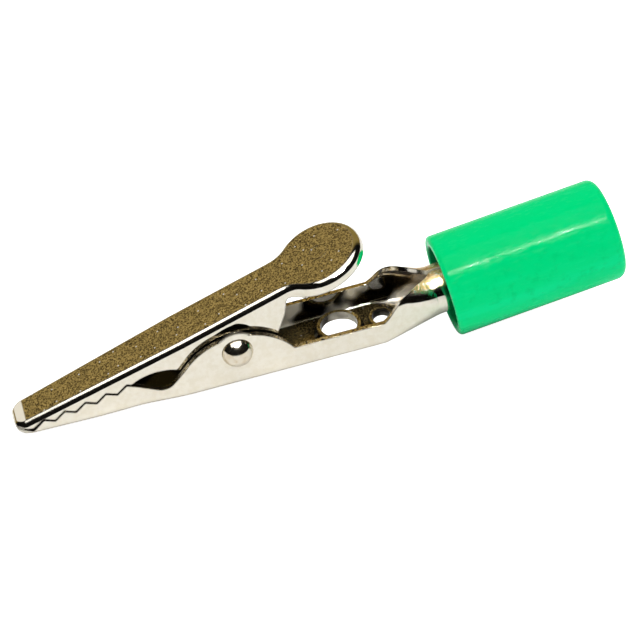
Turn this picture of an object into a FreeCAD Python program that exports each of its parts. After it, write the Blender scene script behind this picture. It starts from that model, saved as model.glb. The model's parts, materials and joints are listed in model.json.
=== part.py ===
import FreeCAD, Part
import math
import os

# Insulated crocodile clip with a socket for a 4 mm banana plug.
#
# Everything is drawn in the jaw frame first: X runs from the jaw tips to the
# plug socket, Z is up, X = 0 is the rivet and Z = 0 is the underside of the
# lower jaw's floor below the rivet. At the end the whole clip is set down, so
# that the jaw tip and the front rim of the sleeve both touch Z = 0.
# Lengths are millimetres and angles are degrees.

V = FreeCAD.Vector

MARGIN = 2.0                   # how far cutting shapes reach past the metal

# Sheet metal
SHEET = 0.50
LOWER_BEND = 0.80              # outer bend radius of the lower jaw
UPPER_BEND = 0.80              # outer bend radius of the upper jaw

# Rivet
PIVOT_HEIGHT = 4.25
RIVET_RADIUS = 1.00
RIVET_HEAD_RADIUS = 1.58
RIVET_HEAD_HEIGHT = 1.20
RIVET_RUNNING_FIT = 0.05       # radial, in the upper jaw's ears
EAR_BOSS_RADIUS = 2.45         # shallow raised ring round the rivet head
EAR_BOSS_HEIGHT = 0.12
EAR_BOSS_ROOT = 0.10           # how deep the ring starts inside the ear
EAR_BOSS_LEDGE = 0.10          # flat of the ring outside the rivet head

# Lower jaw, plan
LOWER_TIP_X = -22.35
NOSE_LENGTH = 1.45
NOSE_TIP_HALF_WIDTH = 0.80
NOSE_LIFT = 0.35               # rise of the lower nose's floor to its tip
NOSE_STEPS = 3
NOSE_BEND_LIMIT = 0.75         # largest bend radius, as a share of the half width
TEETH_HALF_WIDTH_FRONT = 2.06  # at the back of the nose, outside
TEETH_HALF_WIDTH_REAR = 2.38   # at the front of the flare, outside
FLARE_START_X = -11.6
FLARE_END_X = -4.9
EAR_HALF_WIDTH = 3.30          # at the end of the flare, outside
TROUGH_HALF_WIDTH = 3.44       # at the end of the trough, outside
TROUGH_END_X = 14.76

# Lower jaw, side view
FRONT_FLOOR_DROP = 0.58
FLOOR_RAMP_START_X = -13.9
FLOOR_RAMP_END_X = -5.2
LOW_WALL_HEIGHT = 2.90
EAR_FRONT_X = -5.30
EAR_FRONT_Z = 3.55
EAR_CROWN_X = -0.20
EAR_CROWN_Z = 6.08
EAR_REAR_X = 5.59
MOUTH_DIP_X = -7.35
MOUTH_DIP_Z = 1.38
MOUTH_DIP_RADIUS = 1.50
FLARE_STEPS = 5

# Teeth
TEETH = 5
TOOTH_PITCH = 2.125
TOOTH_DEPTH = 0.66
TOOTH_TIP_RADIUS = 0.14
FIRST_TOOTH_X = -19.54
FIRST_TOOTH_Z = 1.05
TEETH_SLOPE = 0.214            # rise of the tooth line along X
BITE_GAP = 0.20                # closed gap between the two tooth rows
NOSE_NOTCH_X = -20.72
NOSE_NOTCH_Z = 0.02
NOSE_LIP_X = -21.60
NOSE_LIP_Z = 0.36
NOSE_LIP_ROUND = 0.30
UPPER_NOTCH_GAP = 0.38         # gap between the two noses at the notch

# Floor holes of the lower jaw
SCREW_HOLE_X = 10.81
SCREW_HOLE_RADIUS = 1.86
SCREW_COLLAR_HEIGHT = 1.37     # rim of the drawn collar
SCREW_COLLAR_WALL = 0.35
SCREW_COLLAR_FLARE = 0.35      # where the collar rises out of the floor
SCREW_HOLE_CHAMFER = 0.45      # drawn-in edge on the underside
WIRE_HOLE_X = 15.20
WIRE_HOLE_LENGTH = 1.95        # along the jaw
WIRE_HOLE_WIDTH = 2.40         # across the jaw
WIRE_COLLAR_HEIGHT = 0.95
WIRE_COLLAR_WALL = 0.30

# Socket tube, rolled from the same sheet
PLUG_RADIUS = 2.00
SOCKET_TILT = 6.24
SOCKET_START_X = 20.60         # where the tube is fully round
SOCKET_AXIS_Z = 2.52           # height of the tube's axis there
SOCKET_LENGTH = 15.4
SEAM_GAP = 0.30
CURL_INSET = 0.20              # the wing edges roll tighter than the tube
WING_RISE = 0.70               # how much the wings stand above the trough's walls
WALL_ARC = 6.0                 # half angle of the tube's outline that the walls turn into

# Sleeve
SLEEVE_RADIUS = 5.18
SLEEVE_LENGTH = 17.7
SLEEVE_SET_BACK = 1.05         # sleeve front behind the start of the round tube
SLEEVE_MOUTH_RADIUS = 4.10
SLEEVE_MOUTH_DEPTH = 5.5
SLEEVE_GRIP_CLEARANCE = 0.02
SLEEVE_PLUG_HOLE_RADIUS = 2.30
SLEEVE_ENTRY_RADIUS = 3.00
SLEEVE_ENTRY_DEPTH = 0.8
SLEEVE_FRONT_CHAMFER = 0.45
SLEEVE_REAR_ROUND = 0.90

# Upper jaw
PLATE_HEIGHT = 7.90            # top of the plate above the rivet's foot point
NOSE_TOP_Z = 0.8374            # top of the plate above the lower jaw's tip
PLATE_SLOPE = (PLATE_HEIGHT - NOSE_TOP_Z) / -LOWER_TIP_X
UPPER_TIP_OVERHANG = 0.35      # the upper nose reaches past the lower one
UPPER_NOSE_LENGTH = 0.95
UPPER_NOSE_HALF_WIDTH = 1.25
UPPER_NOSE_ROUND = 1.20        # corners of the nose in plan
SIDE_ROUND = 8.00              # where the sides turn outwards in plan
EAR_SIDE_GAP = 0.20            # upper ear to lower ear, each side
PAD_CENTRE_X = 9.60
PAD_RADIUS = 4.46
PAD_NECK_RADIUS = 2.6
REACH = PAD_RADIUS + MARGIN    # half length of shapes that cut across both jaws
PAD_LIP_DEPTH = 1.25           # height of the walls round the pad
PAD_MARK_X = 9.81
PAD_MARK_RADIUS = 0.90
PAD_MARK_DEPTH = 0.05
PAD_MARK_WIDTH = 0.12
MOUTH_FRONT_X = -10.55
MOUTH_CROWN_X = -8.10
MOUTH_CROWN_Z = 3.68
MOUTH_REAR_X = -5.32
MOUTH_REAR_Z = 3.04
UPPER_WALL_DEPTH = 9.0         # before the side outline trims the walls
UPPER_EAR_RADIUS = 2.40        # metal below the rivet hole's centre
EAR_FOOT_FRONT_X = -1.70
EAR_FOOT_FRONT_ROUND = 1.90
EAR_FOOT_REAR_X = 1.90
EAR_FOOT_REAR_ROUND = 1.45
REAR_EDGE_LOW_X = 4.25
REAR_EDGE_LOW_RISE = 0.25      # above the rivet hole's centre
REAR_EDGE_LOW_ROUND = 1.20
REAR_EDGE_MIDDLE_X = 5.30
REAR_EDGE_MIDDLE_SHARE = 0.546  # of the height from the low to the high corner
REAR_EDGE_MIDDLE_ROUND = 3.00
REAR_EDGE_HIGH_X = 5.70
REAR_EDGE_HIGH_DROP = 1.0812   # below the plate's top
REAR_EDGE_HIGH_ROUND = 0.60
LIP_START_X = 7.45
LIP_NOTCH_DEPTH = 0.22         # step where the ear's edge meets the pad's wall

# Spring
WIRE_RADIUS = 0.36
COIL_ROOM = (PLATE_HEIGHT - PIVOT_HEIGHT) * math.cos(math.atan(PLATE_SLOPE)) - SHEET
COIL_SLACK = COIL_ROOM - RIVET_RADIUS - 2.0 * WIRE_RADIUS
COIL_SLACK_SHARE = 0.2063     # of the slack lies between the rivet and the coil
COIL_MEAN_RADIUS = RIVET_RADIUS + WIRE_RADIUS + COIL_SLACK_SHARE * COIL_SLACK
COIL_TURNS = 3
COIL_PITCH = 0.80
SPRING_LEG_REACH = 5.6
SPRING_SEAT_GAP = 0.03
LEG_LAP = 0.20                 # how far each leg runs into the coil
WIRE_SIDES = 8                 # flats of the coil's section


def smooth(t):
    t = min(max(t, 0.0), 1.0)
    return t * t * (3.0 - 2.0 * t)


def between(a, b, t):
    return a + (b - a) * t


def rounded_edges(corners):
    """Lines with tangent arcs; each corner is (point, radius)."""
    edges = []
    start = corners[0][0]
    for before, (corner, radius), after in zip(corners, corners[1:], corners[2:]):
        to_back = (before[0] - corner).normalize()
        to_front = (after[0] - corner).normalize()
        half = to_back.getAngle(to_front) / 2.0
        if radius <= 0.0:
            edges.append(Part.LineSegment(start, corner).toShape())
            start = corner
            continue
        cut = radius / math.tan(half)
        arc_start = corner + to_back * cut
        arc_end = corner + to_front * cut
        middle = (to_back + to_front).normalize()
        arc_middle = corner + middle * (radius / math.sin(half) - radius)
        edges.append(Part.LineSegment(start, arc_start).toShape())
        edges.append(Part.Arc(arc_start, arc_middle, arc_end).toShape())
        start = arc_end
    edges.append(Part.LineSegment(start, corners[-1][0]).toShape())
    return edges


def arc_edge(a, b, c):
    return Part.Arc(a, b, c).toShape()


def side_prism(edges):
    """Prism across both jaws from an outline in the XZ plane."""
    face = Part.Face(Part.Wire(Part.__sortEdges__(edges)))
    face.translate(V(0, -REACH, 0))
    return face.extrude(V(0, 2.0 * REACH, 0))


def cross_pin(radius, half_length=REACH):
    """Cylinder on the pivot's axis."""
    return Part.makeCylinder(radius, 2.0 * half_length, V(0, -half_length, PIVOT_HEIGHT), V(0, 1, 0))


def trough_wire(x, half_width, bottom, top, radius):
    """Closed outline across X: rounded bottom corners and straight sides."""
    side = math.sqrt(0.5)
    left = V(x, -half_width + radius, bottom + radius)
    right = V(x, half_width - radius, bottom + radius)
    a = V(x, -half_width, top)
    b = left + V(0, -radius, 0)
    c = left + V(0, -radius * side, -radius * side)
    d = left + V(0, 0, -radius)
    e = right + V(0, 0, -radius)
    f = right + V(0, radius * side, -radius * side)
    g = right + V(0, radius, 0)
    h = V(x, half_width, top)
    edges = [
        Part.LineSegment(a, b).toShape(),
        arc_edge(b, c, d),
        Part.LineSegment(d, e).toShape(),
        arc_edge(e, f, g),
        Part.LineSegment(g, h).toShape(),
        Part.LineSegment(h, a).toShape(),
    ]
    return Part.Wire(edges)


# Lower jaw

def teeth_half_width(x):
    """Outer half width that both jaws share where the teeth meet."""
    nose_x = LOWER_TIP_X + NOSE_LENGTH
    t = (x - nose_x) / (FLARE_START_X - nose_x)
    return between(TEETH_HALF_WIDTH_FRONT, TEETH_HALF_WIDTH_REAR, t)


def lower_half_width(x):
    if x < FLARE_START_X:
        return teeth_half_width(x)
    if x < FLARE_END_X:
        t = smooth((x - FLARE_START_X) / (FLARE_END_X - FLARE_START_X))
        return between(TEETH_HALF_WIDTH_REAR, EAR_HALF_WIDTH, t)
    t = (x - FLARE_END_X) / (TROUGH_END_X - FLARE_END_X)
    return between(EAR_HALF_WIDTH, TROUGH_HALF_WIDTH, t)


def lower_floor(x):
    t = (x - FLOOR_RAMP_START_X) / (FLOOR_RAMP_END_X - FLOOR_RAMP_START_X)
    return -FRONT_FLOOR_DROP * (1.0 - smooth(t))


def nose_angles():
    """Quarter turn from the nose's tip to its back, as both noses narrow."""
    return [math.pi / 2.0 * (1.0 - step / NOSE_STEPS) for step in range(NOSE_STEPS + 1)]


def lower_block(inset):
    """Solid boat shape of the lower jaw; inset gives the inside of the sheet."""
    top = EAR_CROWN_Z + MARGIN
    nose_x = LOWER_TIP_X + NOSE_LENGTH
    length = NOSE_LENGTH - inset
    bend = LOWER_BEND - inset
    wires = []
    for angle in nose_angles():
        x = nose_x - length * math.sin(angle)
        width = between(NOSE_TIP_HALF_WIDTH, TEETH_HALF_WIDTH_FRONT, math.cos(angle)) - inset
        floor = lower_floor(nose_x) + NOSE_LIFT * (1.0 - math.cos(angle)) + inset
        wires.append(trough_wire(x, width, floor, top, min(bend, NOSE_BEND_LIMIT * width)))
    stations = [FIRST_TOOTH_X, FLOOR_RAMP_START_X]
    for step in range(FLARE_STEPS + 1):
        stations.append(between(FLARE_START_X, FLARE_END_X, step / FLARE_STEPS))
    stations.append(TROUGH_END_X)
    for x in stations:
        wires.append(trough_wire(x, lower_half_width(x) - inset, lower_floor(x) + inset, top, bend))
    return Part.makeLoft(wires, True, True)


def tooth_line(x):
    return FIRST_TOOTH_Z + TEETH_SLOPE * (x - FIRST_TOOTH_X)


def tooth_corners(raise_by):
    """Peaks and valleys of the tooth row, front to back, as rounded corners."""
    corners = []
    for tooth in range(TEETH):
        x = FIRST_TOOTH_X + TOOTH_PITCH * tooth
        corners.append((V(x, 0, tooth_line(x) + raise_by), TOOTH_TIP_RADIUS))
        if tooth < TEETH - 1:
            x += TOOTH_PITCH / 2.0
            corners.append((V(x, 0, tooth_line(x) - TOOTH_DEPTH + raise_by), TOOTH_TIP_RADIUS))
    return corners


def behind_last_tooth(x):
    """Height of the lower jaw's edge between the last tooth and the mouth."""
    last_x = FIRST_TOOTH_X + TOOTH_PITCH * (TEETH - 1)
    t = (x - last_x) / (MOUTH_DIP_X - last_x)
    return between(tooth_line(last_x), MOUTH_DIP_Z, t)


def lower_profile():
    """Side outline of the lower jaw up to the end of the trough."""
    under = -MARGIN
    front = LOWER_TIP_X - MARGIN
    corners = [(V(front, 0, under), 0), (V(front, 0, NOSE_LIP_Z), 0)]
    corners.append((V(NOSE_LIP_X, 0, NOSE_LIP_Z), NOSE_LIP_ROUND))
    corners.append((V(NOSE_NOTCH_X, 0, NOSE_NOTCH_Z), TOOTH_TIP_RADIUS))
    corners += tooth_corners(0.0)
    corners.append((V(MOUTH_DIP_X, 0, MOUTH_DIP_Z), MOUTH_DIP_RADIUS))
    corners.append((V(EAR_FRONT_X, 0, EAR_FRONT_Z), 0))
    edges = rounded_edges(corners)
    ear_front = V(EAR_FRONT_X, 0, EAR_FRONT_Z)
    ear_rear = V(EAR_REAR_X, 0, LOW_WALL_HEIGHT)
    edges.append(arc_edge(ear_front, V(EAR_CROWN_X, 0, EAR_CROWN_Z), ear_rear))
    back = TROUGH_END_X
    edges.append(Part.LineSegment(ear_rear, V(back, 0, LOW_WALL_HEIGHT)).toShape())
    edges.append(Part.LineSegment(V(back, 0, LOW_WALL_HEIGHT), V(back, 0, under)).toShape())
    edges.append(Part.LineSegment(V(back, 0, under), V(front, 0, under)).toShape())
    return side_prism(edges)


def stroke(a, middle, b):
    """Arc through three points, or a line where they lie in line."""
    if (middle - a).cross(b - a).Length < 1e-9:
        return Part.LineSegment(a, b).toShape()
    return arc_edge(a, middle, b)


def on_circle(radius, degrees):
    angle = math.radians(degrees)
    return V(0, radius * math.cos(angle), radius * math.sin(angle))


def curled_side(half_width, corner, wall_top, curl_radius, curl, inset):
    """Points of one side, from the curled edge down to the middle of the floor."""
    width = half_width - inset
    bend = corner - inset
    curl_centre = V(0, half_width - curl_radius, wall_top)
    corner_centre = V(0, half_width - corner, corner)
    return [
        curl_centre + on_circle(curl_radius - inset, curl),
        curl_centre + on_circle(curl_radius - inset, curl / 2.0),
        V(0, width, wall_top),
        V(0, width, (wall_top + corner) / 2.0),
        V(0, width, corner),
        corner_centre + on_circle(bend, -45.0),
        V(0, half_width - corner, inset),
        V(0, 0, inset),
    ]


def round_side(inset):
    """The same points on the round tube, whose bottom lies on the floor's underside."""
    radius = PLUG_RADIUS + SHEET
    gap_angle = math.degrees(math.asin(SEAM_GAP / 2.0 / radius))
    top = 90.0 - gap_angle
    angles = [top, (top + WALL_ARC) / 2.0, WALL_ARC, 0.0, -WALL_ARC, -45.0, WALL_ARC - 90.0, -90.0]
    return [V(0, 0, radius) + on_circle(radius - inset, angle) for angle in angles]


def sheet_wire(outer, inner, place):
    """Closed outline of the sheet across the jaw, from the points of one side."""

    def mirrored(p):
        return V(p.x, -p.y, p.z)

    edges = []
    for side in (outer, inner):
        edges.append(stroke(side[0], side[1], side[2]))
        edges.append(stroke(side[2], side[3], side[4]))
        edges.append(stroke(side[4], side[5], side[6]))
        edges.append(stroke(side[6], side[7], mirrored(side[6])))
        edges.append(stroke(mirrored(side[6]), mirrored(side[5]), mirrored(side[4])))
        edges.append(stroke(mirrored(side[4]), mirrored(side[3]), mirrored(side[2])))
        edges.append(stroke(mirrored(side[2]), mirrored(side[1]), mirrored(side[0])))
    edges.append(Part.LineSegment(outer[0], inner[0]).toShape())
    edges.append(Part.LineSegment(mirrored(outer[0]), mirrored(inner[0])).toShape())
    wire = Part.Wire(Part.__sortEdges__(edges))
    wire.Placement = place
    return wire


def curled_wire(half_width, corner, wall_top, curl, x):
    """Outline of the sheet where the trough rolls up into the tube."""
    shape = (half_width, corner, wall_top, PLUG_RADIUS + SHEET - CURL_INSET, curl)
    place = FreeCAD.Placement(V(x, 0, 0), FreeCAD.Rotation())
    return sheet_wire(curled_side(*shape, 0.0), curled_side(*shape, SHEET), place)


def socket_point(along, above=0.0):
    """Point in the socket's middle plane, from the start of the round tube."""
    tilt = FreeCAD.Rotation(V(0, 1, 0), -SOCKET_TILT)
    return V(SOCKET_START_X, 0, SOCKET_AXIS_Z) + tilt.multVec(V(along, 0, above))


def socket_axis():
    return socket_point(1.0) - socket_point(0.0)


def tube_wire():
    tilt = FreeCAD.Rotation(V(0, 1, 0), -SOCKET_TILT)
    place = FreeCAD.Placement(socket_point(0.0, -PLUG_RADIUS - SHEET), tilt)
    return sheet_wire(round_side(0.0), round_side(SHEET), place)


def round_tube():
    outer = Part.makeCylinder(PLUG_RADIUS + SHEET, SOCKET_LENGTH, socket_point(0.0), socket_axis())
    inner = Part.makeCylinder(PLUG_RADIUS, SOCKET_LENGTH, socket_point(0.0), socket_axis())
    seam = Part.makeBox(SOCKET_LENGTH, SEAM_GAP, PLUG_RADIUS + 2.0 * SHEET, V(0, -SEAM_GAP / 2.0, 0))
    seam.rotate(V(0, 0, 0), V(0, 1, 0), -SOCKET_TILT)
    seam.translate(socket_point(0.0))
    return outer.cut([inner, seam])


def wings():
    """Walls that leave the trough, curl over and close into the tube."""
    run = SOCKET_START_X - TROUGH_END_X
    tube = PLUG_RADIUS + SHEET
    # share of the run, share of the rise of the walls, curl of their edges
    stages = [
        (0.00, 0.00, 2.0),
        (0.12, 0.53, 8.0),
        (0.25, 1.00, 20.0),
        (0.40, 0.94, 36.0),
        (0.60, 0.48, 58.0),
        (0.80, 0.10, 75.0),
    ]
    wires = []
    for share, rise, curl in stages:
        half_width = between(TROUGH_HALF_WIDTH, tube, share)
        corner = between(LOWER_BEND, tube, share)
        wall_top = between(LOW_WALL_HEIGHT, tube, share) + WING_RISE * rise
        x = TROUGH_END_X + run * share
        wires.append(curled_wire(half_width, corner, wall_top, curl, x))
    wires.append(tube_wire())
    return Part.makeLoft(wires, True, False)


def screw_hole_collar():
    foot = V(SCREW_HOLE_X, 0, 0)
    radius = SCREW_HOLE_RADIUS + SCREW_COLLAR_WALL
    collar = Part.makeCylinder(radius, SCREW_COLLAR_HEIGHT, foot)
    flare_foot = foot + V(0, 0, SHEET)
    flare = Part.makeCone(radius + SCREW_COLLAR_FLARE, radius, SCREW_COLLAR_FLARE, flare_foot)
    return collar.fuse(flare)


def screw_hole_cut():
    foot = V(SCREW_HOLE_X, 0, 0)
    hole = Part.makeCylinder(SCREW_HOLE_RADIUS, 2.0 * SCREW_COLLAR_HEIGHT, foot)
    wide = SCREW_HOLE_RADIUS + SCREW_HOLE_CHAMFER
    return hole.fuse(Part.makeCone(wide, SCREW_HOLE_RADIUS, SCREW_HOLE_CHAMFER, foot))


def oval_prism(margin, bottom, top):
    """Upright oval round the wire hole, wider across the jaw than along it."""
    across = WIRE_HOLE_WIDTH / 2.0 + margin
    along = WIRE_HOLE_LENGTH / 2.0 + margin
    face = Part.Face(Part.Wire(Part.Ellipse(V(0, 0, 0), across, along).toShape()))
    face.rotate(V(0, 0, 0), V(0, 0, 1), 90.0)
    face.translate(V(WIRE_HOLE_X, 0, bottom))
    return face.extrude(V(0, 0, top - bottom))


def ear_boss(side):
    """Shallow raised ring that the rivet head is set on."""
    face = side * lower_half_width(0.0)
    base = V(0, face - side * EAR_BOSS_ROOT, PIVOT_HEIGHT)
    height = EAR_BOSS_HEIGHT + EAR_BOSS_ROOT
    top = RIVET_HEAD_RADIUS + EAR_BOSS_LEDGE
    return Part.makeCone(EAR_BOSS_RADIUS, top, height, base, V(0, side, 0))


def lower_jaw():
    shell = lower_block(0.0).cut(lower_block(SHEET))
    channel = shell.common(lower_profile())
    wire_collar = oval_prism(WIRE_COLLAR_WALL, SHEET / 2.0, WIRE_COLLAR_HEIGHT)
    added = [wings(), round_tube(), ear_boss(1.0), ear_boss(-1.0), screw_hole_collar(), wire_collar]
    jaw = channel.fuse(added)
    jaw = jaw.cut(cross_pin(RIVET_RADIUS))
    jaw = jaw.cut(screw_hole_cut())
    return jaw.cut(oval_prism(0.0, -SHEET, 2.0 * WIRE_COLLAR_HEIGHT))


# Upper jaw

def plate_tilt():
    return math.degrees(math.atan(PLATE_SLOPE))


def to_plate_frame(x):
    """Distance along the plate from the point above the rivet."""
    return x / math.cos(math.radians(plate_tilt()))


def moved_in(before, corner, after, inset):
    """Corner of an outline whose inside lies to the right, with both sides moved inwards."""
    first = (corner - before).normalize()
    second = (after - corner).normalize()
    first_in = V(first.y, -first.x, 0)
    second_in = V(second.y, -second.x, 0)
    return corner + (first_in + second_in) * (inset / (1.0 + first_in.dot(second_in)))


def upper_plan(inset):
    """Plan of the upper jaw on its plate: rounded nose, sides, neck and round pad."""
    tip = to_plate_frame(LOWER_TIP_X) - UPPER_TIP_OVERHANG
    half = lower_half_width(0.0) - SHEET - EAR_SIDE_GAP
    path = [
        V(tip, 0, 0),
        V(tip, UPPER_NOSE_HALF_WIDTH, 0),
        V(tip + UPPER_NOSE_LENGTH, teeth_half_width(LOWER_TIP_X + NOSE_LENGTH), 0),
        V(to_plate_frame(MOUTH_REAR_X), half, 0),
        V(0, half, 0),
    ]
    radii = [UPPER_NOSE_ROUND, UPPER_NOSE_ROUND, SIDE_ROUND]
    corners = [(V(tip + inset, 0, 0), 0)]
    for before, corner, after, radius in zip(path, path[1:], path[2:], radii):
        corners.append((moved_in(before, corner, after, inset), radius - inset))
    # The neck's arc touches the straight side and the pad's circle
    pad = V(to_plate_frame(PAD_CENTRE_X), 0, 0)
    across = half + PAD_NECK_RADIUS
    neck = V(pad.x - math.sqrt((PAD_RADIUS + PAD_NECK_RADIUS) ** 2 - across ** 2), across, 0)
    toward_pad = (pad - neck).normalize()
    neck_radius = PAD_NECK_RADIUS + inset
    pad_radius = PAD_RADIUS - inset
    on_side = V(neck.x, half - inset, 0)
    on_pad = neck + toward_pad * neck_radius
    corners.append((on_side, 0))
    edges = rounded_edges(corners)
    neck_middle = neck + (toward_pad + V(0, -1, 0)).normalize() * neck_radius
    pad_middle = pad + (V(1, 0, 0) - toward_pad).normalize() * pad_radius
    edges.append(arc_edge(on_side, neck_middle, on_pad))
    edges.append(arc_edge(on_pad, pad_middle, pad + V(pad_radius, 0, 0)))
    other_side = [edge.mirror(V(0, 0, 0), V(0, 1, 0)) for edge in edges]
    return Part.Wire(Part.__sortEdges__(edges + other_side))


def turned_over(shape):
    """From the plate frame (top at Z = 0, walls up) to the jaw frame."""
    shape = shape.mirror(V(0, 0, 0), V(0, 0, 1))
    shape.rotate(V(0, 0, 0), V(0, 1, 0), -plate_tilt())
    shape.translate(V(0, 0, PLATE_HEIGHT))
    return shape


def upper_block(inset):
    """Solid shape of the upper jaw, rounded all round its top; inset gives the inside."""
    face = Part.Face(upper_plan(inset))
    face.translate(V(0, 0, inset))
    block = face.extrude(V(0, 0, UPPER_WALL_DEPTH - inset))
    rim = [edge for edge in block.Edges if edge.BoundBox.ZMax < inset + SHEET / 2.0]
    return turned_over(block.makeFillet(UPPER_BEND - inset, rim))


def plate_top(x):
    return PLATE_HEIGHT + PLATE_SLOPE * x


def upper_profile():
    """Side outline of the upper jaw, below which the walls are cut away."""
    front = LOWER_TIP_X - MARGIN
    back = PAD_CENTRE_X + PAD_RADIUS + MARGIN
    over = plate_top(back) + MARGIN
    lip_drop = PAD_LIP_DEPTH / math.cos(math.radians(plate_tilt()))
    ear_foot = PIVOT_HEIGHT - UPPER_EAR_RADIUS
    edge_low = PIVOT_HEIGHT + REAR_EDGE_LOW_RISE
    edge_high = plate_top(REAR_EDGE_HIGH_X) - REAR_EDGE_HIGH_DROP
    edge_middle = between(edge_low, edge_high, REAR_EDGE_MIDDLE_SHARE)
    corners = [(V(front, 0, over), 0), (V(front, 0, NOSE_LIP_Z + BITE_GAP), 0)]
    corners.append((V(NOSE_LIP_X, 0, NOSE_LIP_Z + BITE_GAP), NOSE_LIP_ROUND))
    corners.append((V(NOSE_NOTCH_X, 0, NOSE_NOTCH_Z + UPPER_NOTCH_GAP), TOOTH_TIP_RADIUS))
    corners += tooth_corners(BITE_GAP)
    mouth_front = V(MOUTH_FRONT_X, 0, behind_last_tooth(MOUTH_FRONT_X) + BITE_GAP)
    corners.append((mouth_front, 0))
    edges = rounded_edges(corners)
    mouth_rear = V(MOUTH_REAR_X, 0, MOUTH_REAR_Z)
    edges.append(arc_edge(mouth_front, V(MOUTH_CROWN_X, 0, MOUTH_CROWN_Z), mouth_rear))
    rear = [
        (mouth_rear, 0),
        (V(EAR_FOOT_FRONT_X, 0, ear_foot), EAR_FOOT_FRONT_ROUND),
        (V(EAR_FOOT_REAR_X, 0, ear_foot), EAR_FOOT_REAR_ROUND),
        (V(REAR_EDGE_LOW_X, 0, edge_low), REAR_EDGE_LOW_ROUND),
        (V(REAR_EDGE_MIDDLE_X, 0, edge_middle), REAR_EDGE_MIDDLE_ROUND),
        (V(REAR_EDGE_HIGH_X, 0, edge_high), REAR_EDGE_HIGH_ROUND),
        (V(LIP_START_X, 0, plate_top(LIP_START_X) - lip_drop - LIP_NOTCH_DEPTH), 0),
        (V(LIP_START_X, 0, plate_top(LIP_START_X) - lip_drop), 0),
        (V(back, 0, plate_top(back) - lip_drop), 0),
        (V(back, 0, over), 0),
        (V(front, 0, over), 0),
    ]
    return side_prism(edges + rounded_edges(rear))


def pad_mark():
    """Faint stamped ring in the middle of the thumb pad."""
    outer = Part.makeCylinder(PAD_MARK_RADIUS + PAD_MARK_WIDTH / 2.0, 2.0 * PAD_MARK_DEPTH)
    inner = Part.makeCylinder(PAD_MARK_RADIUS - PAD_MARK_WIDTH / 2.0, 2.0 * PAD_MARK_DEPTH)
    ring = outer.cut(inner)
    ring.translate(V(to_plate_frame(PAD_MARK_X), 0, -PAD_MARK_DEPTH))
    return turned_over(ring)


def upper_jaw():
    shell = upper_block(0.0).cut(upper_block(SHEET))
    jaw = shell.common(upper_profile())
    jaw = jaw.cut(cross_pin(RIVET_RADIUS + RIVET_RUNNING_FIT))
    return jaw.cut(pad_mark())


# Rivet, spring and sleeve

def rivet_head(side):
    """Domed head: part of a ball that sits on the raised ring."""
    seat = lower_half_width(0.0) + EAR_BOSS_HEIGHT
    radius = (RIVET_HEAD_RADIUS ** 2 + RIVET_HEAD_HEIGHT ** 2) / (2.0 * RIVET_HEAD_HEIGHT)
    centre_y = seat + RIVET_HEAD_HEIGHT - radius
    ball = Part.makeSphere(radius, V(0, side * centre_y, PIVOT_HEIGHT))
    keep = Part.makeCylinder(
        RIVET_HEAD_RADIUS, 2.0 * RIVET_HEAD_HEIGHT, V(0, side * seat, PIVOT_HEIGHT), V(0, side, 0)
    )
    return ball.common(keep)


def rivet():
    half = lower_half_width(0.0) + EAR_BOSS_HEIGHT
    shank = cross_pin(RIVET_RADIUS, half)
    return shank.fuse([rivet_head(1.0), rivet_head(-1.0)])


def leg_angle(seat_height, side):
    """Angle above X of a leg that is tangent to the coil and ends at its seat."""
    rise = seat_height - PIVOT_HEIGHT
    distance = math.hypot(SPRING_LEG_REACH, rise)
    return math.atan2(rise, SPRING_LEG_REACH) - side * math.asin(COIL_MEAN_RADIUS / distance)


def leg(seat_height, side, y):
    """Straight leg from the top (side 1) or the bottom (side -1) of the coil."""
    angle = leg_angle(seat_height, side)
    distance = math.hypot(SPRING_LEG_REACH, seat_height - PIVOT_HEIGHT)
    length = math.sqrt(distance ** 2 - COIL_MEAN_RADIUS ** 2)
    start = V(-side * math.sin(angle), 0, side * math.cos(angle)) * COIL_MEAN_RADIUS
    along = V(math.cos(angle), 0, math.sin(angle))
    start += V(0, y, PIVOT_HEIGHT) - along * LEG_LAP
    return Part.makeCylinder(WIRE_RADIUS, length + LEG_LAP, start, along)


def coil_section():
    """Wire's section as a polygon, at the start of the helix and square to it."""
    out = V(1, 0, 0)
    along = V(0, 2.0 * math.pi * COIL_MEAN_RADIUS, COIL_PITCH).normalize()
    across = along.cross(out)
    points = []
    for side in range(WIRE_SIDES + 1):
        angle = 2.0 * math.pi * (side + 0.5) / WIRE_SIDES
        offset = out * math.cos(angle) + across * math.sin(angle)
        points.append(V(COIL_MEAN_RADIUS, 0, 0) + offset * WIRE_RADIUS)
    return Part.makePolygon(points)


def spring():
    """Torsion spring: a coil on the rivet, one leg on the floor, one under the plate."""
    seat = SHEET + WIRE_RADIUS + SPRING_SEAT_GAP
    under_plate = plate_top(SPRING_LEG_REACH) - seat / math.cos(math.radians(plate_tilt()))
    start_angle = math.degrees(leg_angle(seat, -1.0)) - 90.0
    end_angle = math.degrees(leg_angle(under_plate, 1.0)) + 90.0 - 360.0
    turns = COIL_TURNS + (start_angle - end_angle) / 360.0
    width = COIL_PITCH * turns
    helix = Part.makeLongHelix(COIL_PITCH, width, COIL_MEAN_RADIUS, 0.0)
    coil = Part.Wire(helix).makePipeShell([coil_section()], True, True)
    turn = FreeCAD.Rotation(V(1, 0, 0), -90.0) * FreeCAD.Rotation(V(0, 0, 1), -start_angle)
    coil.Placement = FreeCAD.Placement(V(0, -width / 2.0, PIVOT_HEIGHT), turn)
    return coil.fuse([leg(seat, -1.0, -width / 2.0), leg(under_plate, 1.0, width / 2.0)])


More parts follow.
